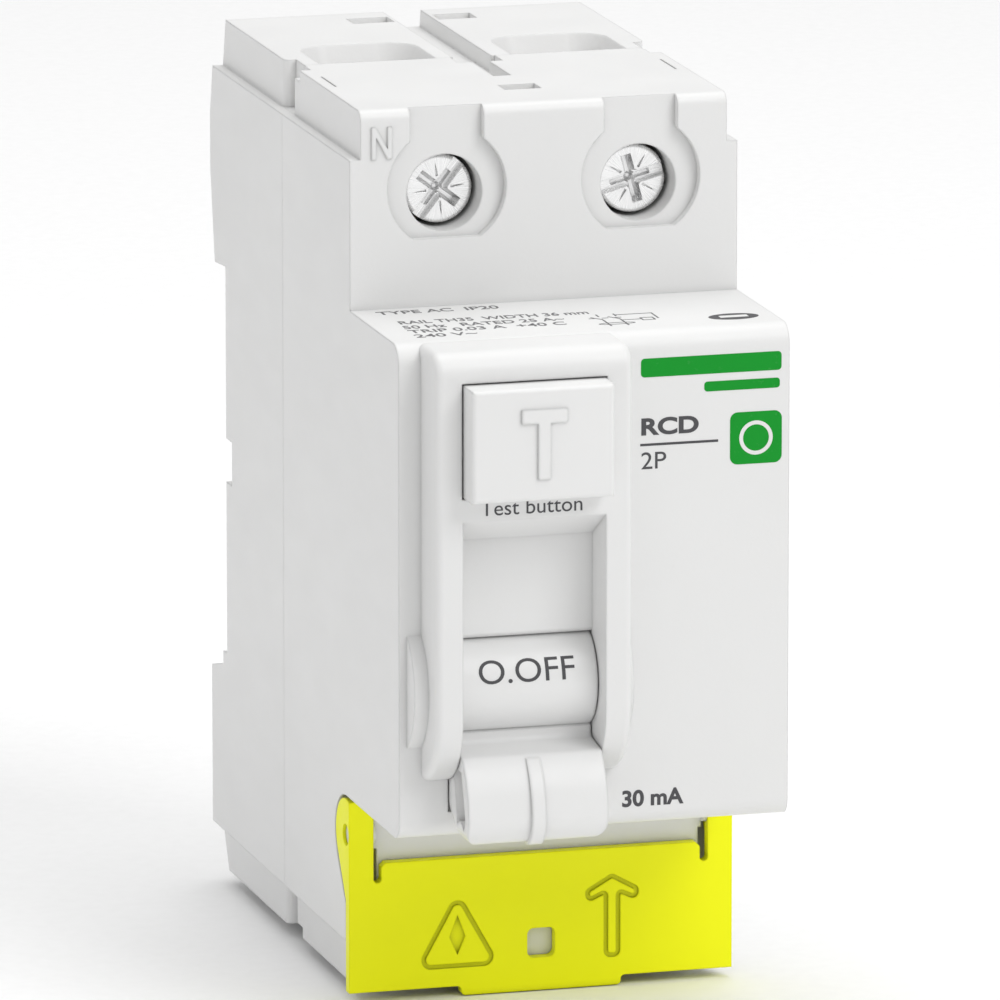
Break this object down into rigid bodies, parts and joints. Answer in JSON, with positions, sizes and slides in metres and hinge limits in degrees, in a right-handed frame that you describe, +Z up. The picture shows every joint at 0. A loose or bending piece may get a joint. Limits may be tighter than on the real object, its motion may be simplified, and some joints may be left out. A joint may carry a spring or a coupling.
{
  "type": "residual current device",
  "caption": "Two-pole rail-mounted residual current switch with toggle, test button, hinged terminal flap and clamp terminals.",
  "frame": {"origin": "centre of the rail seat, on the plane of the mounting rail's front face, midway across both poles", "axes": "+X to the right seen from the front, +Y back towards the rail and the wall, +Z up"},
  "size_m": [0.036, 0.0742, 0.0819],
  "materials": {
    "white_plastic": "fine satin moulded thermoplastic",
    "yellow_plastic": "bright moulded thermoplastic",
    "grey_plastic": "moulded nylon",
    "dark_plastic": "moulded thermoset",
    "zinc_steel": "zinc-plated steel",
    "steel_pin": "plain ground steel",
    "spring_steel": "spring wire",
    "copper": "bare copper",
    "silver": "silver contact alloy",
    "brass": "stamped brass",
    "ferrite": "soft magnetic core",
    "fibre_card": "pressed fibre card",
    "board_green": "coated glass-fibre board",
    "capacitor_can": "sleeved can",
    "component_body": "lacquered",
    "lead_n": "blue flexible insulation",
    "lead_l": "brown flexible insulation",
    "wire_sleeve": "thin insulation"
  },
  "bodies": {
    "case": {"rear_case": "white_plastic", "front_cover": "white_plastic", "relay_body": "grey_plastic", "sensor_shell": "grey_plastic", "case_screws": "zinc_steel", "mechanism_frame": "zinc_steel", "arc_plates": "zinc_steel", "handle_axle": "steel_pin", "carrier_pin": "steel_pin", "trip_pin": "steel_pin", "relay_yoke": "steel_pin", "handle_spring": "spring_steel", "rail_clip_spring": "spring_steel", "relay_spring": "spring_steel", "test_button_spring": "spring_steel", "fixed_contact_n": "copper", "fixed_contact_l": "copper", "lower_bar_n": "copper", "lower_bar_l": "copper", "relay_coil": "copper", "sensor_winding": "copper", "fixed_contact_tips": "silver", "test_blade": "brass", "test_contact": "brass", "sensor_core": "ferrite", "arc_chute_cards": "fibre_card", "circuit_board": "board_green", "board_capacitors": "capacitor_can", "board_diodes": "component_body", "test_resistor": "component_body", "flexible_lead_n": "lead_n", "flexible_lead_l": "lead_l", "signal_wires": "wire_sleeve"},
    "handle": {"handle": "white_plastic"},
    "link": {"link_rod": "steel_pin"},
    "carrier": {"contact_carrier": "dark_plastic", "carrier_link_pin": "steel_pin", "moving_contact_n": "copper", "moving_contact_l": "copper", "moving_contact_tips": "silver"},
    "trip_lever": {"trip_lever": "grey_plastic"},
    "relay_plunger": {"relay_plunger": "steel_pin"},
    "test_button": {"test_button": "white_plastic"},
    "flap": {"terminal_flap": "yellow_plastic"},
    "rail_clip": {"rail_clip": "grey_plastic"},
    "screw_top_n": {"terminal_screw_top_n": "zinc_steel"},
    "cage_top_n": {"terminal_cage_top_n": "zinc_steel"},
    "screw_top_l": {"terminal_screw_top_l": "zinc_steel"},
    "cage_top_l": {"terminal_cage_top_l": "zinc_steel"},
    "screw_bottom_n": {"terminal_screw_bottom_n": "zinc_steel"},
    "cage_bottom_n": {"terminal_cage_bottom_n": "zinc_steel"},
    "screw_bottom_l": {"terminal_screw_bottom_l": "zinc_steel"},
    "cage_bottom_l": {"terminal_cage_bottom_l": "zinc_steel"}
  },
  "joints": [
    {"name": "handle_turn", "type": "hinge", "parent": "case", "child": "handle", "pos_m": [0, -0.05865, -0.0085], "axis": [-1, 0, 0], "range_deg": [0, 95]},
    {"name": "link_turn", "type": "hinge", "parent": "handle", "child": "link", "pos_m": [0, -0.05578, -0.0044], "axis": [1, 0, 0], "range_deg": [0, 105]},
    {"name": "carrier_turn", "type": "hinge", "parent": "case", "child": "carrier", "pos_m": [0, -0.03, 0], "axis": [1, 0, 0], "range_deg": [0, 30.5]},
    {"name": "plunger_slide", "type": "slide", "parent": "case", "child": "relay_plunger", "axis": [0, 0, -1], "range_m": [0, 0.0015], "stiffness_N_per_m": 60, "deforming": ["relay_spring"]},
    {"name": "trip_turn", "type": "hinge", "parent": "case", "child": "trip_lever", "pos_m": [0, -0.0477, 0.0014], "axis": [1, 0, 0], "range_deg": [0, 20.5]},
    {"name": "test_push", "type": "slide", "parent": "case", "child": "test_button", "axis": [0, 1, 0], "range_m": [0, 0.0018], "stiffness_N_per_m": 400, "deforming": ["test_button_spring"]},
    {"name": "flap_turn", "type": "hinge", "parent": "case", "child": "flap", "pos_m": [0, -0.0421, -0.0261], "axis": [-1, 0, 0], "range_deg": [0, 90], "stiffness_Nm_per_rad": 0.02},
    {"name": "clip_slide", "type": "slide", "parent": "case", "child": "rail_clip", "axis": [0, 0, -1], "range_m": [0, 0.0032], "stiffness_N_per_m": 400, "deforming": ["rail_clip_spring"]},
    {"name": "screw_turn_top_n", "type": "hinge", "parent": "case", "child": "screw_top_n", "pos_m": [-0.009, -0.035, 0.0325], "axis": [0, 1, 0], "range_deg": [0, 2162]},
    {"name": "cage_slide_top_n", "type": "slide", "parent": "case", "child": "cage_top_n", "axis": [0, -1, 0], "range_m": [0, 0.0048]},
    {"name": "screw_turn_top_l", "type": "hinge", "parent": "case", "child": "screw_top_l", "pos_m": [0.009, -0.035, 0.0325], "axis": [0, 1, 0], "range_deg": [0, 2162]},
    {"name": "cage_slide_top_l", "type": "slide", "parent": "case", "child": "cage_top_l", "axis": [0, -1, 0], "range_m": [0, 0.0048]},
    {"name": "screw_turn_bottom_n", "type": "hinge", "parent": "case", "child": "screw_bottom_n", "pos_m": [-0.009, -0.035, -0.0325], "axis": [0, 1, 0], "range_deg": [0, 2162]},
    {"name": "cage_slide_bottom_n", "type": "slide", "parent": "case", "child": "cage_bottom_n", "axis": [0, -1, 0], "range_m": [0, 0.0048]},
    {"name": "screw_turn_bottom_l", "type": "hinge", "parent": "case", "child": "screw_bottom_l", "pos_m": [0.009, -0.035, -0.0325], "axis": [0, 1, 0], "range_deg": [0, 2162]},
    {"name": "cage_slide_bottom_l", "type": "slide", "parent": "case", "child": "cage_bottom_l", "axis": [0, -1, 0], "range_m": [0, 0.0048]}
  ],
  "couplings": [
    {"joint": "link_turn", "follows": "handle_turn", "ratio": 1.1},
    {"joint": "carrier_turn", "follows": "handle_turn", "ratio": 0.31579},
    {"joint": "trip_turn", "follows": "plunger_slide", "rad_per_m": 230},
    {"joint": "screw_turn_top_n", "follows": "cage_slide_top_n", "rad_per_m": 7854},
    {"joint": "screw_turn_top_l", "follows": "cage_slide_top_l", "rad_per_m": 7854},
    {"joint": "screw_turn_bottom_n", "follows": "cage_slide_bottom_n", "rad_per_m": 7854},
    {"joint": "screw_turn_bottom_l", "follows": "cage_slide_bottom_l", "rad_per_m": 7854}
  ]
}
